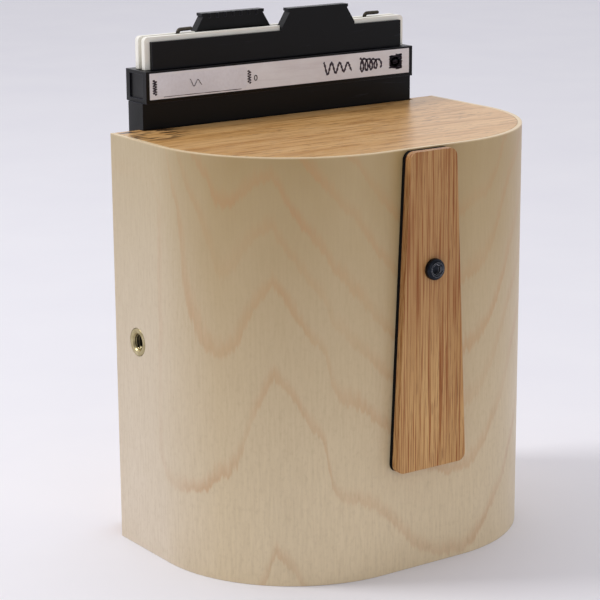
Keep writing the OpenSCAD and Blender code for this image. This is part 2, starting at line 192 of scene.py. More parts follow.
class Shader:
    """A material being built. Each method adds nodes and returns their output."""

    def __init__(self, name):
        self.material = bpy.data.materials.new(name)
        self.material.use_nodes = True
        self.nodes = self.material.node_tree.nodes
        self.links = self.material.node_tree.links
        self.nodes.clear()
        self.place = self.add("ShaderNodeTexCoord").outputs["Object"]

    def add(self, kind, **settings):
        node = self.nodes.new(kind)
        for name, value in settings.items():
            setattr(node, name, value)
        return node

    def feed(self, socket, value):
        if isinstance(value, bpy.types.NodeSocket):
            self.links.new(value, socket)
        else:
            socket.default_value = value

    def math(self, operation, *values):
        node = self.add("ShaderNodeMath", operation=operation)
        for socket, value in zip(node.inputs, values):
            self.feed(socket, value)
        return node.outputs[0]

    def axes(self):
        node = self.add("ShaderNodeSeparateXYZ")
        self.feed(node.inputs[0], self.place)
        return node.outputs

    def vector(self, x, y, z):
        node = self.add("ShaderNodeCombineXYZ")
        for socket, value in zip(node.inputs, (x, y, z)):
            self.feed(socket, value)
        return node.outputs[0]

    def scaled(self, frequency, vector=None):
        node = self.add("ShaderNodeVectorMath", operation="MULTIPLY")
        self.feed(node.inputs[0], vector or self.place)
        node.inputs[1].default_value = frequency
        return node.outputs[0]

    def noise(self, frequency, detail=2.0, roughness=0.5, distortion=0.0, vector=None):
        """Noise with its own frequency, in cycles per metre, along each axis."""
        node = self.add("ShaderNodeTexNoise")
        self.feed(node.inputs["Vector"], self.scaled(frequency, vector))
        node.inputs["Scale"].default_value = 1.0
        node.inputs["Detail"].default_value = detail
        node.inputs["Roughness"].default_value = roughness
        node.inputs["Distortion"].default_value = distortion
        return node.outputs["Fac"]

    def remap(self, value, low, high, to_low=0.0, to_high=1.0, shape="LINEAR"):
        """Value carried from one range to another, and held at the ends."""
        node = self.add("ShaderNodeMapRange", interpolation_type=shape)
        for socket, number in zip(node.inputs, (value, low, high, to_low, to_high)):
            self.feed(socket, number)
        return node.outputs[0]

    def curve(self, value, points, corner):
        """Value looked up on a smooth curve through points in the unit square, with one corner."""
        node = self.add("ShaderNodeFloatCurve")
        self.feed(node.inputs["Value"], value)
        line = node.mapping.curves[0]
        for x, y in points[1:-1]:
            line.points.new(x, y)
        line.points[0].location = points[0]
        line.points[-1].location = points[-1]
        for point in line.points:
            point.handle_type = "VECTOR" if abs(point.location.x - corner) < 1e-4 else "AUTO"
        node.mapping.update()
        return node.outputs[0]

    def ramp(self, value, stops):
        """Grey value from stops of (place, brightness)."""
        node = self.add("ShaderNodeValToRGB")
        elements = node.color_ramp.elements
        while len(elements) < len(stops):
            elements.new(0.5)
        for element, (place, grey) in zip(elements, stops):
            element.position = place
            element.color = (grey, grey, grey, 1.0)
        self.feed(node.inputs[0], value)
        return node.outputs[0]

    def mix(self, share, first, second):
        """Colour that goes from first to second as share goes from 0 to 1."""
        node = self.add("ShaderNodeMix", data_type="RGBA")
        self.feed(node.inputs[0], share)
        self.feed(node.inputs[6], first)
        self.feed(node.inputs[7], second)
        return node.outputs[2]

    def bump(self, height, distance, strength=1.0):
        node = self.add("ShaderNodeBump")
        node.inputs["Strength"].default_value = strength
        node.inputs["Distance"].default_value = distance
        self.feed(node.inputs["Height"], height)
        return node.outputs[0]

    def edges(self, radius, low=0.03, high=0.25):
        """Mask that is 1 on outer and inner edges."""
        rounded = self.add("ShaderNodeBevel", samples=4)
        rounded.inputs["Radius"].default_value = radius
        flat = self.add("ShaderNodeNewGeometry").outputs["Normal"]
        dot = self.add("ShaderNodeVectorMath", operation="DOT_PRODUCT")
        self.feed(dot.inputs[0], rounded.outputs[0])
        self.feed(dot.inputs[1], flat)
        return self.remap(self.math("SUBTRACT", 1.0, dot.outputs["Value"]), low, high)

    def recess_shade_and_grime(self, reach):
        """Mask that is 1 deep in holes and corners, where painted shade and grime darken the colour."""
        painted_shade = self.add("ShaderNodeAmbientOcclusion", samples=8)
        painted_shade.inputs["Distance"].default_value = reach
        return self.remap(painted_shade.outputs["AO"], 0.3, 0.85, 1.0, 0.0)

    def finish(self, colour, roughness, normal, **constants):
        """Closes the material with one principled shader. Constants are its inputs by name."""
        shader = self.add("ShaderNodeBsdfPrincipled")
        self.feed(shader.inputs["Base Color"], colour)
        self.feed(shader.inputs["Roughness"], roughness)
        self.feed(shader.inputs["Normal"], normal)
        for name, value in constants.items():
            label = name.replace("_", " ").title().replace("Ior", "IOR")
            shader.inputs[label].default_value = value
        output = self.add("ShaderNodeOutputMaterial")
        self.links.new(shader.outputs[0], output.inputs[0])
        return self.material


# ---- birch ----

# Height of a growth line above or below its own peak, in mm, at arc lengths round the shell, in mm:
# for lines near the foot of the shell, and for lines near its top
LINE_AT_FOOT = [(-140, -20), (-112, -30), (-99, -46), (-85, -44), (-77, -38), (-70, -32), (-65, -20),
                (-57, 0), (-52, -4), (-46, -15), (-40, -24), (-35, -43), (-24, -48), (-10, -60),
                (0, -70), (16, -74), (34, -60), (60, -30), (140, 0)]
LINE_AT_TOP = [(-140, 60), (-112, 60), (-104, 52), (-96, 28), (-88, 10), (-80, -2), (-74, -10),
               (-66, -4), (-57, 0), (-49, -13), (-40, -24), (-30, -36), (-18, -52), (-8, -61),
               (4, -65), (18, -59), (30, -53), (38, -40), (53, -22), (140, 20)]
CREST_ARC = -57
# Heights between which the lines change from the first shape to the second
FOOT_Z = 40 * MM
TOP_Z = 130 * MM
# How far a line fades out above its edge, and how soft the edge is, in mm
LINE_FADE = 6.0
LINE_EDGE = 2.0
ARC_LIMIT = 140.0
LIFT_LIMIT = 80.0
# Heights of the lines' crests, in mm, with how dark each line is
CRESTS = [(-40, 0.7), (12, 0.9), (77, 1.0), (108, 0.9), (127, 0.6), (143, 0.9), (166, 0.8), (186, 0.7),
          (214, 0.7), (240, 0.8)]
# The irregularities of a line: frequency, detail, and how far it moves the line, in mm
WANDERS = [((14, 14, 8), 2.0, (0.2, 0.8), 4.0), ((130, 130, 45), 3.0, (0.2, 0.8), 1.6),
           ((900, 1, 110), 2.0, (0.25, 0.75), 1.5)]
PLY_T = 1.6 * MM
# Where the middle ply is, as parts of the sheet's thickness, with how much it shows
CORE_PLY = [(0.0, 0.0), (0.24, 0.0), (0.3, 1.0), (0.7, 1.0), (0.76, 0.0), (1.0, 0.0)]


def shell_coordinates(m):
    """Arc length round the shell from its front centre, and depth into the sheet, in metres."""
    x, y, _ = m.axes()
    across = m.math("ABSOLUTE", x)
    out = m.math("MAXIMUM", m.math("SUBTRACT", across, FLAT_HALF_W), 0.0)
    ahead = m.math("SUBTRACT", CORNER_Y, y)
    front = m.math("MAXIMUM", ahead, 0.0)
    turn = m.math("MULTIPLY", m.math("ARCTAN2", out, front), CORNER_R)
    flat = m.math("MINIMUM", across, FLAT_HALF_W)
    side = m.math("MAXIMUM", m.math("MULTIPLY", ahead, -1.0), 0.0)
    length = m.math("ADD", m.math("ADD", flat, turn), side)
    arc = m.math("MULTIPLY", length, m.math("SIGN", x))
    reach = m.math("SQRT", m.math("ADD", m.math("POWER", out, 2.0), m.math("POWER", front, 2.0)))
    return arc, m.math("SUBTRACT", CORNER_R, reach)


def line_lift(m, place, points):
    """Height of a growth line above its peak, in mm, from points of (arc length, height)."""
    unit = [(arc / ARC_LIMIT / 2 + 0.5, lift / LIFT_LIMIT / 2 + 0.5) for arc, lift in points]
    share = m.curve(place, unit, CREST_ARC / ARC_LIMIT / 2 + 0.5)
    return m.remap(share, 0.0, 1.0, -LIFT_LIMIT, LIFT_LIMIT)


def growth_lines(m, arc, height, sheet):
    """Share of dark late wood: nested crests, as rotary-cut veneer shows them."""
    place = m.remap(arc, -ARC_LIMIT * MM, ARC_LIMIT * MM)
    shift = line_lift(m, place, LINE_AT_FOOT)
    rise = m.math("SUBTRACT", line_lift(m, place, LINE_AT_TOP), shift)
    shift = m.math("ADD", shift, m.math("MULTIPLY", rise, m.remap(height, FOOT_Z, TOP_Z)))
    for frequency, detail, (low, high), reach in WANDERS:
        wander = m.remap(m.noise(frequency, detail=detail, vector=sheet), low, high, -reach, reach)
        shift = m.math("ADD", shift, wander)
    level = m.math("SUBTRACT", m.math("MULTIPLY", height, 1 / MM), shift)
    total = 0.0
    for crest, darkness in CRESTS:
        above = m.remap(level, crest, crest + LINE_FADE, darkness, 0.0, "SMOOTHSTEP")
        edge = m.remap(level, crest - LINE_EDGE, crest, 0.0, 1.0, "SMOOTHSTEP")
        total = m.math("ADD", total, m.math("MULTIPLY", above, edge))
    return total


def birch_tone_with_painted_light(m, arc, height, sheet, bent):
    """Ground colour of the veneer with painted light: pale at the foot from a painted reflection of the
    floor and golden at the top from painted shade, most so on the front; paler on the left side from
    painted key light and on the right from a painted sheen.
    """
    # Painted shade: the colour goes from a painted floor reflection at the foot to painted shade at the
    # top, along a wavy edge
    shade_edge_wobble = m.remap(m.noise((9, 1, 7), detail=1.0, vector=sheet), 0.3, 0.7, -10 * MM, 10 * MM)
    lit_foot_to_shaded_top = m.remap(m.math("ADD", height, shade_edge_wobble), 12 * MM, 150 * MM)
    # Painted key light: the flat left side gets paler colours than the front
    side = m.remap(arc, -107 * MM, -77 * MM, 1.0, 0.0) if bent else 0.6
    shaded_top = m.mix(side, srgb(168, 139, 84), srgb(194, 174, 135))
    pale = m.mix(side, srgb(230, 210, 174), srgb(232, 217, 195))
    if bent:
        # Painted sheen: the right corner turns paler
        right = m.remap(arc, 20 * MM, 70 * MM, 0.0, 0.45)
        shaded_top = m.mix(right, shaded_top, srgb(206, 176, 124))
    clouds = m.noise((26, 1, 14), detail=3.0, vector=sheet)
    return m.mix(m.remap(clouds, 0.3, 0.7, 0.0, 0.35), m.mix(lit_foot_to_shaded_top, pale, shaded_top), srgb(206, 186, 150))


def cut_edges(m, colour, depth, height):
    """The middle ply on the sheet's edges, and a pale band along the top edge."""
    core = m.ramp(m.remap(depth, 0.0, PLY_T), CORE_PLY)
    colour = m.mix(m.math("MULTIPLY", core, 0.4), colour, srgb(196, 160, 112))
    pale_top_edge = m.remap(height, wrap_high.z - 0.5 * MM, wrap_high.z - 0.1 * MM, 0.0, 0.8)
    return m.mix(pale_top_edge, colour, srgb(232, 208, 166))


def birch_sheet(name, bent):
    """Clear-finished birch veneer with fine flecks and soft growth lines, bent round the shell or flat."""
    m = Shader(name)
    across, _, height = m.axes()
    arc, depth = shell_coordinates(m) if bent else (across, None)
    sheet = m.vector(arc, 0.0, height)
    fibres = m.noise((1100, 1, 90), detail=4.0, roughness=0.65, vector=sheet)
    flecks = m.noise((700, 1, 420), detail=3.0, roughness=0.6, vector=sheet)
    # Ground colour with painted light: floor reflection at the foot, shade at the top, key light on the
    # left, sheen on the right
    colour = birch_tone_with_painted_light(m, arc, height, sheet, bent)
    fade = m.remap(m.noise((34, 1, 28), detail=2.0, vector=sheet), 0.35, 0.65, 0.35, 1.0)
    if bent:
        fade = m.math("MULTIPLY", fade, m.remap(arc, -112 * MM, -92 * MM, 0.1, 1.0))
    lines = m.math("MULTIPLY", growth_lines(m, arc, height, sheet), fade)
    colour = m.mix(m.math("MULTIPLY", lines, 0.42), colour, srgb(192, 130, 70))
    colour = m.mix(m.remap(fibres, 0.4, 0.75, 0.0, 0.22), colour, srgb(168, 140, 98))
    colour = m.mix(m.remap(flecks, 0.5, 0.75, 0.0, 0.22), colour, srgb(176, 150, 110))
    if bent:
        colour = cut_edges(m, colour, depth, height)
    grain = m.math("ADD", fibres, m.math("MULTIPLY", flecks, 0.5))
    return m.finish(colour, m.remap(fibres, 0.2, 0.8, 0.38, 0.50), m.bump(grain, 0.03 * MM, 0.3),
                    coat_weight=0.3, coat_roughness=0.32)


# ---- oak and other woods ----


def stain_dashes(m, axis, centre):
    """Mask of short dark dashes along the grain, round a place."""
    away = m.add("ShaderNodeVectorMath", operation="DISTANCE")
    m.feed(away.inputs[0], m.place)
    away.inputs[1].default_value = centre
    dashes = m.remap(m.noise(along(axis, 110, 520), detail=2.0), 0.48, 0.55)
    return m.math("MULTIPLY", dashes, m.remap(away.outputs["Value"], 9 * MM, 16 * MM, 1.0, 0.0))


def open_grain(name, axis, colours, frequencies, streak_range, roughness, specular, stain=None, painted_shade=None):
    """Oak: broad soft bands, fine streaks and dark open pores, all along one axis. The stain is a place
    with dark dashes round it. The painted shade is a range of heights over which painted shade darkens the
    wood."""
    pale, middle, dark, pore = colours
    ring_frequency, streak_frequency, length = frequencies
    m = Shader(name)
    bands = m.noise(along(axis, 4, ring_frequency), detail=3.0, roughness=0.55, distortion=0.3)
    streaks = m.noise(along(axis, length, streak_frequency), detail=4.0, roughness=0.6, distortion=0.25)
    pores = m.noise(along(axis, 5 * length, 2.2 * streak_frequency), detail=2.0)
    clusters = m.remap(m.noise(along(axis, 12, 60), detail=2.0), 0.4, 0.6, 0.25, 1.0)
    colour = m.mix(m.remap(bands, 0.35, 0.65), pale, middle)
    colour = m.mix(m.remap(streaks, *streak_range, 0.0, 0.9), colour, dark)
    pits = m.math("MULTIPLY", m.remap(pores, 0.56, 0.68), clusters)
    colour = m.mix(m.math("MULTIPLY", pits, 0.6), colour, pore)
    if stain is not None:
        colour = m.mix(stain_dashes(m, axis, stain), colour, srgb(66, 38, 18))
    # Painted shade: darker towards the top of the range of heights
    if painted_shade is not None:
        colour = m.mix(m.remap(m.axes()[2], *painted_shade, 0.0, 0.4), colour, srgb(128, 74, 34))
    depth = m.math("SUBTRACT", m.math("MULTIPLY", streaks, 0.3), pits)
    return m.finish(colour, roughness, m.bump(depth, 0.04 * MM, 0.4), specular_ior_level=specular)


def block_wood(name, axis):
    """Plain close-grained block."""
    m = Shader(name)
    bands = m.noise(along(axis, 6, 160), detail=3.0)
    fibres = m.noise(along(axis, 45, 1100), detail=3.0)
    colour = m.mix(m.remap(bands, 0.3, 0.7), srgb(214, 186, 142), srgb(188, 154, 108))
    colour = m.mix(m.remap(fibres, 0.35, 0.75, 0.0, 0.5), colour, srgb(168, 134, 92))
    return m.finish(colour, m.remap(fibres, 0.2, 0.8, 0.5, 0.65), m.bump(fibres, 0.04 * MM, 0.5))


def painted_wood():
    m = Shader("black_painted_wood")
    grain = m.noise(along(2, 30, 700), detail=3.0)
    dust = m.noise((400, 400, 400), detail=4.0)
    colour = m.mix(m.remap(dust, 0.4, 0.8), srgb(24, 24, 25), srgb(38, 37, 36))
    return m.finish(colour, m.remap(grain, 0.2, 0.8, 0.55, 0.75), m.bump(grain, 0.05 * MM, 0.7))


# ---- cloth, plastic, paper ----


def felt():
    m = Shader("black_felt")
    fuzz = m.noise((1800, 1800, 1800), detail=5.0, roughness=0.7)
    tufts = m.noise((350, 350, 350), detail=2.0)
    colour = m.mix(m.remap(fuzz, 0.3, 0.7), srgb(10, 9, 9), srgb(30, 28, 27))
    height = m.math("ADD", fuzz, tufts)
    return m.finish(colour, 0.95, m.bump(height, 0.3 * MM), specular_ior_level=0.1)


def cloth_tape():
    m = Shader("black_cloth_tape")
    warp = m.noise((2200, 2200, 90), detail=1.0)
    weft = m.noise((90, 90, 2200), detail=1.0)
    weave = m.math("MAXIMUM", warp, weft)
    colour = m.mix(m.remap(weave, 0.4, 0.7), srgb(18, 18, 19), srgb(44, 43, 43))
    return m.finish(colour, 0.7, m.bump(weave, 0.08 * MM))


def moulded_plastic(name, body, wear_and_highlight, roughness, texture, gloss=0.5):
    """Moulded plastic with a fine spark-eroded texture, light rub marks, and paler edges that are wear and
    a painted highlight.
    """
    m = Shader(name)
    spark = m.noise((2600, 2600, 2600), detail=3.0, roughness=0.6)
    rubs = m.noise((60, 60, 900), detail=3.0, distortion=0.6)
    handling = m.noise((35, 35, 35), detail=3.0)
    # Edge mask for wear and a painted highlight
    wear_and_highlight_share = m.math("MULTIPLY", m.edges(0.35 * MM), m.remap(handling, 0.3, 0.65, 0.3, 1.0))
    rubs_and_highlight = m.math("MAXIMUM", wear_and_highlight_share, m.remap(rubs, 0.66, 0.80, 0.0, 0.25))
    colour = m.mix(m.math("MULTIPLY", rubs_and_highlight, 0.75), body, wear_and_highlight)
    rough = m.remap(handling, 0.3, 0.7, roughness - 0.05, roughness + 0.06)
    rough = m.math("ADD", rough, m.math("MULTIPLY", rubs_and_highlight, -0.08))
    return m.finish(colour, rough, m.bump(spark, texture, 0.6), specular_ior_level=gloss)


def label_plastic():
    """Matt writing strip, slightly grubby from pencil and thumbs."""
    m = Shader("white_label")
    grime = m.noise((45, 45, 90), detail=5.0, roughness=0.65)
    wiped = m.noise((30, 30, 700), detail=2.0, distortion=0.5)
    colour = m.mix(m.remap(grime, 0.4, 0.75, 0.0, 0.8), srgb(240, 239, 243), srgb(222, 216, 219))
    colour = m.mix(m.remap(wiped, 0.6, 0.8, 0.0, 0.3), colour, srgb(200, 190, 196))
    return m.finish(colour, m.remap(grime, 0.3, 0.7, 0.5, 0.65), m.bump(grime, 0.02 * MM, 0.5))


def paper():
    m = Shader("note_paper")
    pulp = m.noise((900, 900, 900), detail=4.0)
    stains = m.noise((70, 70, 70), detail=3.0)
    colour = m.mix(m.remap(stains, 0.35, 0.7), srgb(238, 237, 244), srgb(226, 224, 231))
    colour = m.mix(m.remap(pulp, 0.4, 0.7, 0.0, 0.2), colour, srgb(206, 200, 206))
    return m.finish(colour, 0.85, m.bump(pulp, 0.03 * MM, 0.6))


def ink():
    m = Shader("marker_ink")
    bleed = m.noise((1500, 1500, 1500), detail=3.0)
    colour = m.mix(m.remap(bleed, 0.35, 0.7), srgb(24, 14, 28), srgb(70, 52, 70))
    return m.finish(colour, m.remap(bleed, 0.3, 0.7, 0.4, 0.6), m.bump(bleed, 0.01 * MM, 0.5))


def film_stock():
    m = Shader("film")
    haze = m.noise((200, 200, 200), detail=3.0)
    colour = m.mix(m.remap(haze, 0.3, 0.7), srgb(54, 58, 66), srgb(66, 68, 76))
    return m.finish(colour, m.remap(haze, 0.3, 0.7, 0.2, 0.35), m.bump(haze, 0.01 * MM, 0.4))


# ---- metal ----


def metal(name, bright, dull, roughness, metallic=1.0, painted_highlight=None, reach=4 * MM, wear_and_highlight_share=0.5):
    """Metal with fine tool marks, dulled patches, bright worn edges that double as a painted highlight, and
    painted shade with grime in its recesses. The painted highlight is the colour of the worn edges, and the
    reach is how wide a hole may be to count as a recess."""
    m = Shader(name)
    marks = m.noise(along(2, 60, 3000), detail=2.0)
    patches = m.noise((180, 180, 180), detail=4.0, roughness=0.6)
    colour = m.mix(m.remap(patches, 0.35, 0.7), bright, dull)
    # Edge mask for wear and a painted highlight: on the black steel the edge colour is a near-white painted
    # highlight
    wear_and_highlight = m.edges(0.25 * MM, 0.01, 0.12)
    colour = m.mix(m.math("MULTIPLY", wear_and_highlight, wear_and_highlight_share), colour, painted_highlight or bright)
    # Painted shade, with some grime, darkens holes and recesses
    colour = m.mix(m.math("MULTIPLY", m.recess_shade_and_grime(reach), 0.95), colour, srgb(22, 18, 14))
    rough = m.remap(patches, 0.3, 0.7, roughness - 0.06, roughness + 0.10)
    rough = m.math("ADD", rough, m.remap(marks, 0.3, 0.7, -0.04, 0.04))
    return m.finish(colour, rough, m.bump(marks, 0.02 * MM, 0.4), metallic=metallic)


def floor_paper():
    m = Shader("floor_paper")
    mottle = m.noise((12, 12, 12), detail=5.0)
    colour = m.mix(m.remap(mottle, 0.3, 0.7), srgb(243, 242, 247), srgb(240, 239, 245))
    return m.finish(colour, 0.8, m.bump(mottle, 0.05 * MM, 0.3))


# Pale, middle and dark wood, and pores
OAK = (srgb(217, 174, 116), srgb(205, 158, 97), srgb(176, 124, 63), srgb(108, 62, 28))
RED_OAK = (srgb(214, 170, 112), srgb(194, 148, 92), srgb(148, 80, 28), srgb(110, 54, 14))
# The stain on the top plate, from its back left corner
STAIN_OFFSET = Vector((9, -10, 0)) * MM
# Heights over which painted shade darkens the lever towards its top
LEVER_PAINTED_SHADE = (55 * MM, 105 * MM)


def make_woods():
    plate_low, plate_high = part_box("top_plate")
    stain = Vector((plate_low.x, plate_high.y, plate_high.z)) + STAIN_OFFSET
    return [
        birch_sheet("birch_plywood", True),
        birch_sheet("birch_board", False),
        open_grain("oak", 0, OAK, (120, 460, 42), (0.47, 0.66), 0.31, 0.22, stain=stain),
        open_grain("red_oak", 2, RED_OAK, (260, 1500, 22), (0.47, 0.62), 0.42, 0.28, painted_shade=LEVER_PAINTED_SHADE),
        block_wood("birch_block", 2),
        block_wood("birch_rail", 0),
        painted_wood(),
    ]


def make_metals():
    return [
        metal("brass", srgb(196, 182, 140), srgb(148, 132, 90), 0.33, reach=9 * MM),
        metal("black_aluminium", srgb(40, 40, 42), srgb(24, 24, 26), 0.45, metallic=0.6),
        metal("zinc_steel", srgb(196, 198, 200), srgb(150, 152, 154), 0.32),
        metal("spring_steel", srgb(170, 172, 176), srgb(128, 130, 136), 0.28),
        # The near-white edge colour of the black steel is a painted highlight on the screw head
        metal("black_steel", srgb(38, 42, 50), srgb(24, 26, 31), 0.22, metallic=0.9,
              painted_highlight=srgb(205, 207, 214), reach=1.2 * MM, wear_and_highlight_share=0.9),
        metal("hook_steel", srgb(92, 86, 76), srgb(60, 55, 48), 0.42),
    ]


def make_plastics():
    return [
        # The bluish-grey edge colour of the black plastic is wear and a painted highlight
        moulded_plastic("black_plastic", srgb(8, 8, 9), srgb(78, 80, 96), 0.36, 0.03 * MM, 0.22),
        moulded_plastic("black_sheet", srgb(18, 18, 20), srgb(64, 64, 72), 0.45, 0.02 * MM, 0.35),
        moulded_plastic("white_plastic", srgb(250, 247, 236), srgb(226, 221, 204), 0.45, 0.02 * MM),
        label_plastic(),
    ]


def make_materials():
    """All materials by name, without the number that Blender adds where the CAD model has that name."""
    soft = [felt(), cloth_tape(), paper(), ink(), film_stock(), floor_paper()]
    made = make_woods() + make_metals() + make_plastics() + soft
    return {material.name.split(".")[0]: material for material in made}


# ---- mesh building ----

# Edges sharper than this many degrees stay sharp, or are rounded
SHARP_ANGLE = 32.0
EASE_SEGMENTS = 3
THREAD_STEPS = 6


def add_piece(name, mesh, body, material, slot, *replaced):
    """Puts a finished mesh in the scene, on a CAD body, in place of any CAD nodes named."""
    mesh.materials.clear()
    mesh.materials.append(material)
    piece = bpy.data.objects.new(name, mesh)
    bpy.context.scene.collection.objects.link(piece)
    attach(piece, body)
    if replaced:
        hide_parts(*replaced)
    return piece


def mesh_from(bm, name, smooth_angle=SHARP_ANGLE):
    """Turns a bmesh into a mesh with smooth faces and sharp edges past an angle."""
    bmesh.ops.recalc_face_normals(bm, faces=bm.faces)
    mesh = bpy.data.meshes.new(name)
    bm.to_mesh(mesh)
    bm.free()
    mesh.shade_smooth()
    mesh.set_sharp_from_angle(angle=math.radians(smooth_angle))
    return mesh


def soften(piece, width):
    """Rounds every sharp edge."""
    bevel = piece.modifiers.new("soft edges", "BEVEL")
    bevel.width = width
    bevel.segments = EASE_SEGMENTS
    bevel.limit_method = "ANGLE"
    bevel.angle_limit = math.radians(SHARP_ANGLE)
    bevel.harden_normals = True
    bevel.use_clamp_overlap = True


def clean_copy(node):
    """The CAD node's shape as a bmesh without its doubled points and flat triangles."""
    bm = bmesh.new()
    bm.from_mesh(frame["nodes"][node].data)
    bmesh.ops.remove_doubles(bm, verts=bm.verts, dist=0.002 * MM)
    bmesh.ops.dissolve_limit(bm, angle_limit=math.radians(0.5), verts=bm.verts, edges=bm.edges)
    return bm


def soft_copy(node, material, slot, width):
    """Copy of a CAD node with rounded edges, in the node's place."""
    mesh = mesh_from(clean_copy(node), node + "_soft")
    soften(add_piece(node + "_soft", mesh, frame["nodes"][node]["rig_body"], material, slot, node), width)


def join_rings(bm, rings, closed=False):
    """Quads between rings of equally many points; closed joins the last ring to the first."""
    rows = [[bm.verts.new(point) for point in ring] for ring in rings]
    count = len(rows[0])
    following = rows[1:] + rows[:1] if closed else rows[1:]
    for low, high in zip(rows, following):
        for i in range(count):
            j = (i + 1) % count
            bm.faces.new((low[i], low[j], high[j], high[i]))
    return rows


def cap(bm, ring):
    """Fan of triangles that closes a ring."""
    middle = bm.verts.new(sum((v.co for v in ring), Vector()) / len(ring))
    for i, vert in enumerate(ring):
        bm.faces.new((vert, ring[(i + 1) % len(ring)], middle))


def turned(placed, profile, segments=48):
    """Rings round an axis. The profile is a list of (radius, distance along the axis), and a radius may be
    a function of the angle."""
    rings = []
    for radius, height in profile:
        ring = []
        for i in range(segments):
            angle = math.tau * i / segments
            r = radius(angle) if callable(radius) else radius
            ring.append(placed @ Vector((r * math.cos(angle), r * math.sin(angle), height)))
        rings.append(ring)
    return rings


def axis_frame(origin, axis):
    """Placement whose +Z runs along an axis from an origin."""
    return Matrix.Translation(origin) @ Vector(axis).to_track_quat("Z", "Y").to_matrix().to_4x4()


def hexagon(apothem):
    """Radius of a hexagon at an angle."""
    return lambda a: apothem / math.cos((a + math.pi / 6) % (math.pi / 3) - math.pi / 6)


def cross_slot(length, half_width):
    """Radius of a plus-shaped recess at an angle."""
    def radius(a):
        c, s = abs(math.cos(a)) + 1e-6, abs(math.sin(a)) + 1e-6
        return max(min(length / c, half_width / s), min(length / s, half_width / c))
    return radius


def threaded_wall(crest, root, pitch, start, end, fade):
    """Profile of a helical thread: (radius as a function of the angle, distance along the axis)."""
    rows = max(2, round((end - start) / pitch * THREAD_STEPS))
    profile = []
    for row in range(rows + 1):
        height = start + (end - start) * row / rows
        strength = min(1.0, (height - start) / fade, (end - height) / fade)

        def radius(angle, height=height, strength=strength):
            turns = (height / pitch - angle / math.tau) % 1.0
            wave = abs(2 * turns - 1) * 2 - 1
            return (crest + root) / 2 + (crest - root) / 2 * wave * strength

        profile.append((radius, height))
    return profile


# ---- metal pieces ----

SOCKET_PITCH = 1.27 * MM
SOCKET_MINOR_R = 2.6 * MM
SOCKET_MAJOR_R = 3.175 * MM
SOCKET_BODY_R = 4.2 * MM
SOCKET_LENGTH = 10 * MM
FLANGE_R = 5.15 * MM
FLANGE_T = 1.6 * MM
FLANGE_EASE = 0.25 * MM
SOCKET_LIP = 0.6 * MM

SCREW_R = 2 * MM
SCREW_PITCH = 0.7 * MM
THREAD_DEPTH = 0.3 * MM
HEAD_R = 3.8 * MM
HEAD_H = 2.2 * MM
SHOULDER = 1.25 * MM
# Angles round the shoulder from the head's face to its side
SHOULDER_STEPS = (0, 20, 40, 60, 75, 90)
HEX_APOTHEM = 1.7 * MM
HEX_DEPTH = 1.4 * MM

HOOK_X = 41.5 * MM
HOOK_R = 0.7 * MM
HOOK_BEND = 1.3 * MM
HOOK_REACH = 6.6 * MM
LEFT_HOOK_TURN = 8
# The hook's tip: distance from its end, in mm, and the parts of the wire's radius across it and up it
HOOK_TIP = [(2.5, 1.0, 1.0), (1.2, 1.06, 0.96), (0.35, 1.04, 0.92), (0.1, 0.8, 0.7), (0.0, 0.4, 0.35)]


def make_tripod_socket(node, mouth, axis):
    """Brass threaded insert with an eased flange and a helical thread down its bore."""
    outside = [(SOCKET_MAJOR_R + 0.1 * MM, SOCKET_LENGTH), (SOCKET_BODY_R, SOCKET_LENGTH),
               (SOCKET_BODY_R, FLANGE_T), (FLANGE_R, FLANGE_T), (FLANGE_R, FLANGE_EASE),
               (FLANGE_R - FLANGE_EASE, 0.0), (SOCKET_MAJOR_R + SOCKET_LIP / 2, 0.0)]
    thread = threaded_wall(SOCKET_MINOR_R, SOCKET_MAJOR_R, SOCKET_PITCH, SOCKET_LIP,
                           SOCKET_LENGTH - 0.1 * MM, SOCKET_LIP)
    bm = bmesh.new()
    join_rings(bm, turned(axis_frame(mouth, axis), outside + thread), closed=True)
    mesh = mesh_from(bm, node + "_threaded", 40)
    add_piece(node + "_threaded", mesh, "camera_body", materials["brass"], "brass", node)


def make_tripod_sockets():
    low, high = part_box("side_tripod_socket")
    middle = (low + high) / 2
    make_tripod_socket("side_tripod_socket", Vector((wrap_low.x, middle.y, middle.z)), (1, 0, 0))
    make_tripod_socket("bottom_tripod_socket", Vector((0, 0, 0)), (0, 0, 1))


def make_pivot_screw():
    """Button-head socket screw: round-shouldered head, hexagon recess, threaded shank."""
    low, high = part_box("pivot_screw")
    placed = axis_frame(Vector((0, low.y, (low.z + high.z) / 2)), (0, 1, 0))
    shank_end = high.y - low.y
    hex_hole = hexagon(HEX_APOTHEM)
    recess = [(lambda a: 0.55 * hex_hole(a), HEX_DEPTH + 0.3 * MM), (hex_hole, HEX_DEPTH),
              (hex_hole, 0.5 * MM), (2.2 * MM, 0.35 * MM), (2.45 * MM, 0.04 * MM), (2.55 * MM, 0.0)]
    turns = [math.radians(a) for a in SHOULDER_STEPS]
    shoulder = [(HEAD_R - SHOULDER * (1 - math.sin(t)), SHOULDER * (1 - math.cos(t))) for t in turns]
    rim = [(HEAD_R, HEAD_H - 0.12 * MM), (HEAD_R - 0.12 * MM, HEAD_H), (SCREW_R, HEAD_H)]
    thread = threaded_wall(SCREW_R, SCREW_R - THREAD_DEPTH, SCREW_PITCH, HEAD_H + 6 * MM,
                           shank_end - 0.4 * MM, 0.5 * MM)
    tip = [(SCREW_R - 0.5 * MM, shank_end)]
    bm = bmesh.new()
    rows = join_rings(bm, turned(placed, recess + shoulder + rim + thread + tip))
    cap(bm, rows[0])
    cap(bm, rows[-1])
    mesh = mesh_from(bm, "pivot_screw_turned", 30)
    add_piece("pivot_screw_turned", mesh, "camera_body", materials["black_steel"], "black_steel",
              "pivot_screw")


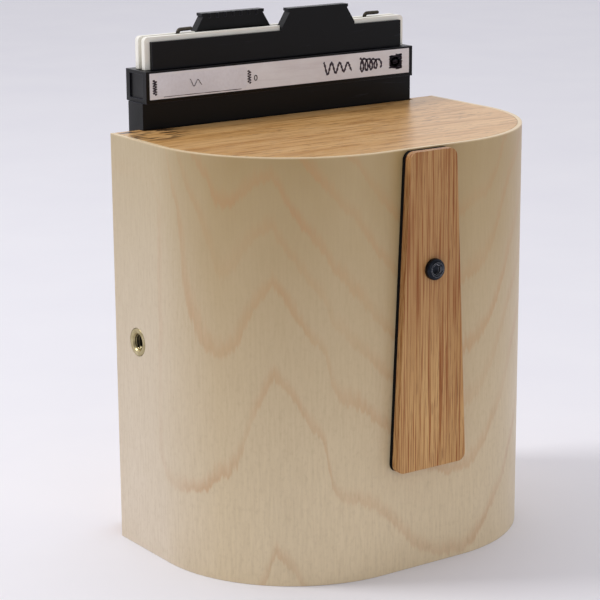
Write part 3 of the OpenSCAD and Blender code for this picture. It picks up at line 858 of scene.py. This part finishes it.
def countersunk_rings(placed, r, head_r, length):
    """Flat-head screw with a cross recess, its head flush with the placement's origin."""
    cross = cross_slot(head_r * 0.62, head_r * 0.16)
    recess = [(lambda a: 0.3 * cross(a), head_r * 0.55), (cross, head_r * 0.45), (cross, 0.0)]
    head = [(head_r * 0.94, 0.0), (head_r, 0.06 * MM), (r, head_r - r + 0.1 * MM)]
    return turned(placed, recess + head + [(r, length), (0.1 * r, length + r)], 64)


def make_flat_screws(node, rows, r, head_r, length):
    """Flat-head screws in two columns, in rows that are parts of the CAD node's height."""
    low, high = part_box(node)
    foot, top = low.z + head_r, high.z - head_r
    bm = bmesh.new()
    for x in (low.x + head_r, high.x - head_r):
        for share in rows:
            placed = axis_frame(Vector((x, high.y, foot + (top - foot) * share)), (0, -1, 0))
            rings = join_rings(bm, countersunk_rings(placed, r, head_r, length))
            cap(bm, rings[0])
            cap(bm, rings[-1])
    mesh = mesh_from(bm, node + "_turned", 30)
    add_piece(node + "_turned", mesh, "camera_body", materials["zinc_steel"], "zinc_steel", node)


def bar_rings(path, radii, side, segments=16):
    """Rings of a bar along (point, unit tangent) pairs. The side is at right angles to every tangent, and
    each ring has its own radius along it and across it."""
    angles = [math.tau * i / segments for i in range(segments)]
    rings = []
    for (point, tangent), (wide, tall) in zip(path, radii):
        up = tangent.cross(side)
        rings.append([point + side * wide * math.cos(a) + up * tall * math.sin(a) for a in angles])
    return rings


def hook_path(foot, top, out):
    """The wire's middle line: up the stem, round the bend and along to the tip, with each ring's radii."""
    up = Vector((0, 0, 1))
    bend_foot = Vector((foot.x, foot.y, top - HOOK_BEND))
    path = [(foot, up), (bend_foot, up)]
    for angle in (15, 30, 45, 60, 75, 90):
        a = math.radians(angle)
        point = bend_foot + (out * (1 - math.cos(a)) + up * math.sin(a)) * HOOK_BEND
        path.append((point, up * math.cos(a) + out * math.sin(a)))
    radii = [(HOOK_R, HOOK_R)] * len(path)
    end = Vector((foot.x, foot.y, top)) + out * HOOK_REACH
    for back, wide, tall in HOOK_TIP:
        path.append((end - out * back * MM, out))
        radii.append((HOOK_R * wide, HOOK_R * tall))
    return path, radii


def make_hook(side, x, turn):
    """Bent steel wire: a stem, a tight bend and a slightly flattened tip."""
    node = f"lock_hook_{side}"
    low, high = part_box(node)
    frame_low, frame_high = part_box("holder_frame")
    out = Vector((math.cos(math.radians(turn)), math.sin(math.radians(turn)), 0))
    foot = Vector((x, (frame_low.y + frame_high.y) / 2, low.z))
    path, radii = hook_path(foot, high.z - HOOK_R, out)
    bm = bmesh.new()
    rows = join_rings(bm, bar_rings(path, radii, Vector((-out.y, out.x, 0))))
    cap(bm, rows[0])
    cap(bm, rows[-1])
    mesh = mesh_from(bm, node + "_bent", 50)
    add_piece(node + "_bent", mesh, f"{side}_lock_hook", materials["hook_steel"], "hook_steel", node)


# ---- the dark slides' handles ----

TAB_X = 17 * MM
TAB_FOOT_HALF_W = 16.5 * MM
TAB_TOP_HALF_W = 13 * MM
# The tab's foot and its widest part, above the holder's head
TAB_FOOT_RISE = 6.7 * MM
TAB_KNEE_RISE = 11.0 * MM
LIP = 0.5 * MM
LIP_H = 1.3 * MM
# How far the tab reaches into the panel, so that the two make one solid
OVERLAP = 0.2 * MM
PANEL_H = 9.9 * MM
HANDLE_EASE = 0.25 * MM
DOT_PITCH = 3.4 * MM
DOT_R = 0.5 * MM
DOT_H = 1.8 * MM
DOT_EASE = 0.2 * MM
DOTS_EACH_SIDE = 3


def extruded(bm, outline, near, far):
    """Solid between two planes of constant Y from an outline of (x, z) points."""
    front = [bm.verts.new((x, near, z)) for x, z in outline]
    back = [bm.verts.new((x, far, z)) for x, z in outline]
    bm.faces.new(front)
    bm.faces.new(back[::-1])
    for i in range(len(outline)):
        j = (i + 1) % len(outline)
        bm.faces.new((front[i], back[i], back[j], front[j]))


def turn_half(bm):
    """Turns a piece made for the front of the film holder to its back."""
    low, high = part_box("holder_frame")
    pivot = Vector((0, (low.y + high.y) / 2, 0))
    bmesh.ops.rotate(bm, verts=bm.verts, cent=pivot, matrix=Matrix.Rotation(math.pi, 3, "Z"))


def tab_outline(head_top, top):
    """Upper outline of a finger tab, from its right knee over its lip to its left knee."""
    half = [(TAB_FOOT_HALF_W, head_top + TAB_KNEE_RISE), (TAB_TOP_HALF_W, top - LIP_H),
            (TAB_TOP_HALF_W + LIP, top - LIP_H + LIP / 2), (TAB_TOP_HALF_W + LIP, top)]
    return [(TAB_X + x, z) for x, z in half] + [(TAB_X - x, z) for x, z in reversed(half)]


def add_touch_dots(bm, y, top):
    """Raised dots along the back of the tab's top edge."""
    profile = [(DOT_R, 0.0), (DOT_R, DOT_H - DOT_EASE), (0.6 * DOT_R, DOT_H)]
    for i in range(-DOTS_EACH_SIDE, DOTS_EACH_SIDE + 1):
        placed = axis_frame(Vector((TAB_X + DOT_PITCH * i, y, top - DOT_H)), (0, 0, 1))
        rows = join_rings(bm, turned(placed, profile, 16))
        cap(bm, rows[0])
        cap(bm, rows[-1])


def make_handle(side):
    """Black half of a dark slide's handle: a panel, and a tapered tab with a lip and touch dots."""
    node = f"{side}_slide_handle"
    panel_low, panel_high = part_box("front_slide_handle")
    rim_low, rim_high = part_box("front_slide_rim")
    head_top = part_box("holder_frame")[1].z
    panel_top = panel_low.z + PANEL_H
    tab = tab_outline(head_top, panel_high.z)
    left, right = TAB_X - TAB_FOOT_HALF_W, TAB_X + TAB_FOOT_HALF_W
    half = -panel_low.x
    panel = [(-half, panel_low.z), (half, panel_low.z), (half, panel_top), (right, panel_top)]
    bm = bmesh.new()
    extruded(bm, panel + tab + [(left, panel_top), (-half, panel_top)], panel_low.y, rim_low.y)
    tab_foot = head_top + TAB_FOOT_RISE
    extruded(bm, [(left, tab_foot), (right, tab_foot)] + tab, rim_low.y - OVERLAP, rim_high.y)
    add_touch_dots(bm, rim_high.y, panel_high.z)
    if side == "back":
        turn_half(bm)
    mesh = mesh_from(bm, node + "_moulded")
    piece = add_piece(node + "_moulded", mesh, f"{side}_dark_slide", materials["black_plastic"],
                      "black_plastic", node)
    soften(piece, HANDLE_EASE)


# ---- the paper note and the marks on the writing strip ----

NOTE_T = 0.10 * MM
NOTE_CORNER = 0.8 * MM
NOTE_COLUMNS = 48
NOTE_ROWS = 8
STROKE_LIFT = 0.03 * MM
STROKE_T = 0.03 * MM
PEN = 1.0 * MM


def note_layer(bm, back):
    """Grid of points on the note's face, or on its back, which is half its thickness behind."""
    low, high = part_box("label_note")
    strip_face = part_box("front_label")[0].y
    grid = []
    for row in range(NOTE_ROWS + 1):
        up = row / NOTE_ROWS
        inset = NOTE_CORNER * max(0.0, 1 - min(up, 1 - up) * NOTE_ROWS) ** 2
        line = []
        for column in range(NOTE_COLUMNS + 1):
            across = column / NOTE_COLUMNS
            x = low.x + (high.x - low.x) * across
            x += inset * (max(0.0, 1 - across * 16) - max(0.0, 1 - (1 - across) * 16))
            curl = 0.25 + 0.75 * (1 - up) ** 2 * (0.6 + 0.4 * math.cos(9 * across))
            lift = (high.y - low.y) * curl - (NOTE_T / 2 if back else 0.0)
            y = strip_face - max(0.2 * NOTE_T, lift)
            line.append(bm.verts.new((x, y, low.z + (high.z - low.z) * up)))
        grid.append(line)
    return grid


def make_note():
    """Strip of paper on the writing strip, cut with round corners, slightly lifted along its foot."""
    bm = bmesh.new()
    for back in (False, True):
        grid = note_layer(bm, back)
        for low_line, high_line in zip(grid, grid[1:]):
            for i in range(NOTE_COLUMNS):
                bm.faces.new((low_line[i], low_line[i + 1], high_line[i + 1], high_line[i]))
    bmesh.ops.bridge_loops(bm, edges=[e for e in bm.edges if e.is_boundary])
    mesh = mesh_from(bm, "label_note_curled")
    add_piece("label_note_curled", mesh, "film_holder", materials["note_paper"], "paper", "label_note")


def ripple(turns, lean=0.0):
    """Wave that dies away, with loops when it leans."""
    return lambda t: (t - 0.5 + lean * math.sin(math.tau * turns * t),
                      (0.5 - 0.2 * t) * math.cos(math.tau * turns * t))


def loop(turns):
    """Circles over each other."""
    return lambda t: (0.5 * math.cos(math.tau * turns * t), 0.5 * math.sin(math.tau * turns * t))


def hatch(turns):
    """Dense strokes from side to side that climb."""
    return lambda t: (0.5 * math.sin(math.tau * turns * t), t - 0.5)


# Marks on the strip: shape in the unit square, middle from the strip's middle, width and height, all in mm,
# how many straight steps it has, and the part of the pen's width it is drawn with
STRIP_MARKS = [
    (ripple(3.5), (24.0, 0.0), (13.0, 4.7), 84, 1.0),
    (ripple(4.5, 0.12), (39.0, 0.0), (9.5, 5.08), 96, 1.0),
    (hatch(6.5), (51.2, 0.0), (6.0, 5.26), 96, 0.9),
    (loop(2.0), (51.0, 0.0), (3.4, 2.82), 28, 1.0),
    (hatch(6), (-55.6, -0.4), (1.5, 5.26), 72, 0.6),
    (hatch(5), (-15.6, 0.0), (1.4, 4.7), 60, 0.5),
    (loop(2.5), (-12.8, -0.6), (1.2, 1.88), 28, 0.4),
    # The next mark is a thin dark line along the foot of the paper note
    (ripple(0.5), (-35.5, -4.05), (33.0, 0.12), 12, 0.28),
]
NOTE_MARKS = [(ripple(1.5), (-38.5, 0.0), (5.0, 2.82), 28, 0.3)]


def ribbon(bm, points, pen, y):
    """Flat stroke along (x, z) points, with a width that swells and thins, its face at y."""
    previous = None
    for i, (x, z) in enumerate(points):
        ahead = points[min(i + 1, len(points) - 1)]
        behind = points[max(i - 1, 0)]
        run = Vector((ahead[0] - behind[0], ahead[1] - behind[1]))
        side = Vector((-run.y, run.x)).normalized() * pen / 2 * (0.75 + 0.25 * math.sin(1.9 * i))
        section = [bm.verts.new((x + side.x * s, y + depth, z + side.y * s))
                   for s, depth in ((-1, 0.0), (1, 0.0), (1, STROKE_T), (-1, STROKE_T))]
        if previous:
            for j in range(4):
                k = (j + 1) % 4
                bm.faces.new((previous[j], previous[k], section[k], section[j]))
        else:
            bm.faces.new(section)
        previous = section
    bm.faces.new(previous[::-1])


def draw_marks(bm, marks, face):
    low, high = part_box("front_label")
    middle = (low.z + high.z) / 2
    for shape, (x, z), (width, height), steps, pen in marks:
        points = []
        for i in range(steps + 1):
            across, up = shape(i / steps)
            points.append(((x + width * across) * MM, middle + (z + height * up) * MM))
        ribbon(bm, points, pen * PEN, face - STROKE_LIFT - STROKE_T)


def make_marks():
    """Marker strokes that stand for writing without spelling anything, and a thin dark line along the foot
    of the note.
    """
    bm = bmesh.new()
    draw_marks(bm, STRIP_MARKS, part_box("front_label")[0].y)
    draw_marks(bm, NOTE_MARKS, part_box("label_note")[0].y)
    mesh = mesh_from(bm, "label_marks")
    add_piece("label_marks", mesh, "film_holder", materials["marker_ink"], "white_label")


# ---- the whole model ----

# CAD nodes copied with rounded edges: node, material, record slot, edge radius in mm
SOFT = [
    ("plywood_wrap", "birch_plywood", "birch_plywood", 0.35),
    ("top_plate", "oak", "oak", 0.35),
    ("bottom_plate", "oak", "oak", 0.35),
    ("side_post_left", "birch_block", "birch_block", 0.4),
    ("side_post_right", "birch_block", "birch_block", 0.4),
    ("back_rail_left", "birch_block", "birch_block", 0.4),
    ("back_rail_right", "birch_block", "birch_block", 0.4),
    ("holder_ledge", "birch_rail", "birch_block", 0.4),
    ("front_backing", "black_painted_wood", "black_painted_wood", 0.4),
    ("back_board", "birch_board", "birch_plywood", 0.3),
    ("film_gate", "black_painted_wood", "black_painted_wood", 0.3),
    ("shutter_lever", "red_oak", "red_oak", 0.8),
    ("lever_felt", "black_felt", "black_felt", 0.4),
    ("holder_frame", "black_plastic", "black_plastic", 0.35),
    ("loading_flap", "black_plastic", "black_plastic", 0.35),
    ("front_label", "white_label", "white_label", 0.1),
    ("back_label", "white_label", "white_label", 0.1),
    ("front_slide_rim", "white_plastic", "white_plastic", 0.3),
    ("back_slide_rim", "white_plastic", "white_plastic", 0.3),
    ("pivot_washer", "zinc_steel", "zinc_steel", 0.1),
    ("pivot_lock_nut", "zinc_steel", "zinc_steel", 0.2),
    ("pinhole_plate", "black_aluminium", "black_aluminium", 0.2),
]
# CAD nodes that keep their own shape: node, material
KEPT = [
    ("gate_felt", "black_felt"),
    ("pinhole_shim", "brass"),
    ("leaf_spring_left", "spring_steel"),
    ("leaf_spring_right", "spring_steel"),
    ("spring_rivets", "zinc_steel"),
    ("holder_septum", "black_aluminium"),
    ("film_sheet_front", "film"),
    ("film_sheet_back", "film"),
    ("slide_light_seals", "black_felt"),
    ("flap_hinge_tape", "black_cloth_tape"),
    ("front_slide_sheet", "black_sheet"),
    ("back_slide_sheet", "black_sheet"),
]


def make_pieces():
    for node, material, slot, radius in SOFT:
        soft_copy(node, materials[material], slot, radius * MM)
    for node, material in KEPT:
        shape = frame["nodes"][node].data
        shape.materials.clear()
        shape.materials.append(materials[material])
    make_tripod_sockets()
    make_pivot_screw()
    make_flat_screws("back_board_screws", (0.0, 0.5, 1.0), 1.1 * MM, 1.9 * MM, 10 * MM)
    make_flat_screws("pinhole_plate_screws", (0.0, 1.0), 0.8 * MM, 1.6 * MM, 4 * MM)
    make_hook("left", -HOOK_X, LEFT_HOOK_TURN)
    make_hook("right", HOOK_X, 0)
    make_handle("front")
    make_handle("back")
    make_note()
    make_marks()


materials = make_materials()
make_camera()
make_lights()
make_floor(materials["floor_paper"])
make_pieces()
